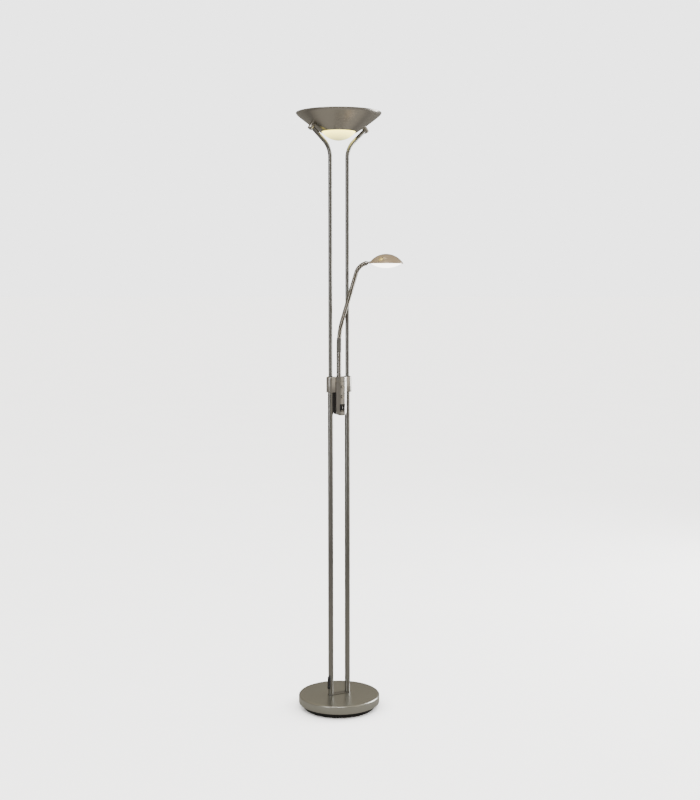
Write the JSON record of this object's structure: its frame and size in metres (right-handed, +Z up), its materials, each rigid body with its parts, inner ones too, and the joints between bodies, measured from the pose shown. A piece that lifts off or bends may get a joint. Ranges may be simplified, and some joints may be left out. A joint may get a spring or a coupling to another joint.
{
  "type": "torchiere floor lamp",
  "caption": "Torchiere floor lamp with two slim tubes under a shallow uplight bowl, a glass dome in it, a control box at hand height and a flexible reading arm.",
  "frame": {"origin": "centre of the base's resting face on the floor", "axes": "+Z up along the stand; the two tubes stand side by side along X; the control box faces -Y"},
  "size_m": [0.2814, 0.2814, 1.8],
  "materials": {
    "satin_nickel": "satin",
    "hose_metal": "satin",
    "cast_iron": "matte",
    "zinc_steel": "satin",
    "black_plastic": "matte",
    "black_gloss": "gloss",
    "black_rubber": "matte",
    "white_plastic": "matte",
    "board_green": "matte",
    "board_white": "matte",
    "chip_yellow": "gloss",
    "heat_sink": "matte",
    "brass": "satin",
    "opal_glass": "satin",
    "opal_plastic": "satin"
  },
  "bodies": {
    "lamp": {"arm_nut": "zinc_steel", "arm_sleeve": "satin_nickel", "base_cover": "satin_nickel", "base_weight": "cast_iron", "bowl": "satin_nickel", "bowl_strap": "zinc_steel", "box_back": "black_plastic", "box_shell": "satin_nickel", "clamp_screws": "zinc_steel", "cover_screws": "zinc_steel", "dimmer_board": "board_green", "dimmers": "board_green", "floor_pad": "black_rubber", "foot_gasket": "black_rubber", "foot_inserts": "zinc_steel", "foot_nuts": "zinc_steel", "foot_plate": "satin_nickel", "glass_dome": "opal_glass", "glass_gasket": "black_rubber", "glass_ring": "zinc_steel", "holder_pins": "satin_nickel", "hose_foot": "hose_metal", "light_chips": "chip_yellow", "light_module": "heat_sink", "lower_board": "board_white", "lower_tube_left": "satin_nickel", "lower_tube_right": "satin_nickel", "module_cover": "opal_plastic", "pin_screws": "zinc_steel", "plinth": "black_plastic", "plinth_screws": "zinc_steel", "power_supply": "white_plastic", "reducer_sleeves": "white_plastic", "rocker_axle": "zinc_steel", "rocker_frame": "black_plastic", "strap_screws": "zinc_steel", "switch_terminals": "brass", "terminal_block": "white_plastic", "tube_clip": "black_plastic", "tube_collars": "black_plastic", "upper_board": "board_white", "upper_tube_left": "satin_nickel", "upper_tube_right": "satin_nickel"},
    "upper_dimmer_knob": {"upper_knob": "satin_nickel", "upper_shaft": "zinc_steel"},
    "lower_dimmer_knob": {"lower_knob": "satin_nickel", "lower_shaft": "zinc_steel"},
    "rocker": {"rocker_button": "black_gloss"},
    "arm_1": {"hose_length_1": "hose_metal"},
    "arm_2": {"hose_length_2": "hose_metal"},
    "arm_3": {"hose_length_3": "hose_metal"},
    "arm_4": {"hose_length_4": "hose_metal"},
    "arm_5": {"hose_length_5": "hose_metal", "end_cone": "satin_nickel", "head_shell": "satin_nickel", "head_sink": "heat_sink", "head_board": "board_white", "head_chips": "chip_yellow", "head_screw": "zinc_steel", "head_diffuser": "opal_plastic"}
  },
  "joints": [
    {"name": "arm_bend_low", "type": "hinge", "parent": "lamp", "child": "arm_1", "pos_m": [0, 0, 1.114], "axis": [0.7071, 0.7071, 0], "range_deg": [-10, 30]},
    {"name": "arm_side_low", "type": "hinge", "parent": "arm_1", "child": "arm_2", "pos_m": [0.0033, -0.0033, 1.16301], "axis": [0.6944, -0.6944, -0.1885], "range_deg": [-5, 35]},
    {"name": "arm_bend_middle", "type": "hinge", "parent": "arm_2", "child": "arm_3", "pos_m": [0.01303, -0.01303, 1.21312], "axis": [0.7071, 0.7071, 0], "range_deg": [-15, 35]},
    {"name": "arm_side_high", "type": "hinge", "parent": "arm_3", "child": "arm_4", "pos_m": [0.02543, -0.02543, 1.2705], "axis": [0.6762, -0.6762, -0.2924], "range_deg": [-20, 35]},
    {"name": "arm_bend_high", "type": "hinge", "parent": "arm_4", "child": "arm_5", "pos_m": [0.03742, -0.03742, 1.32596], "axis": [0.7071, 0.7071, 0], "range_deg": [-35, 45]},
    {"name": "upper_knob_turn", "type": "hinge", "parent": "lamp", "child": "upper_dimmer_knob", "pos_m": [0, -0.025, 0.99], "axis": [0, -1, 0], "range_deg": [-150, 150]},
    {"name": "lower_knob_turn", "type": "hinge", "parent": "lamp", "child": "lower_dimmer_knob", "pos_m": [0, -0.025, 0.9605], "axis": [0, -1, 0], "range_deg": [-150, 150]},
    {"name": "rocker_tilt", "type": "hinge", "parent": "lamp", "child": "rocker", "pos_m": [0, -0.0195, 0.9267], "axis": [1, 0, 0], "range_deg": [0, 18]}
  ]
}
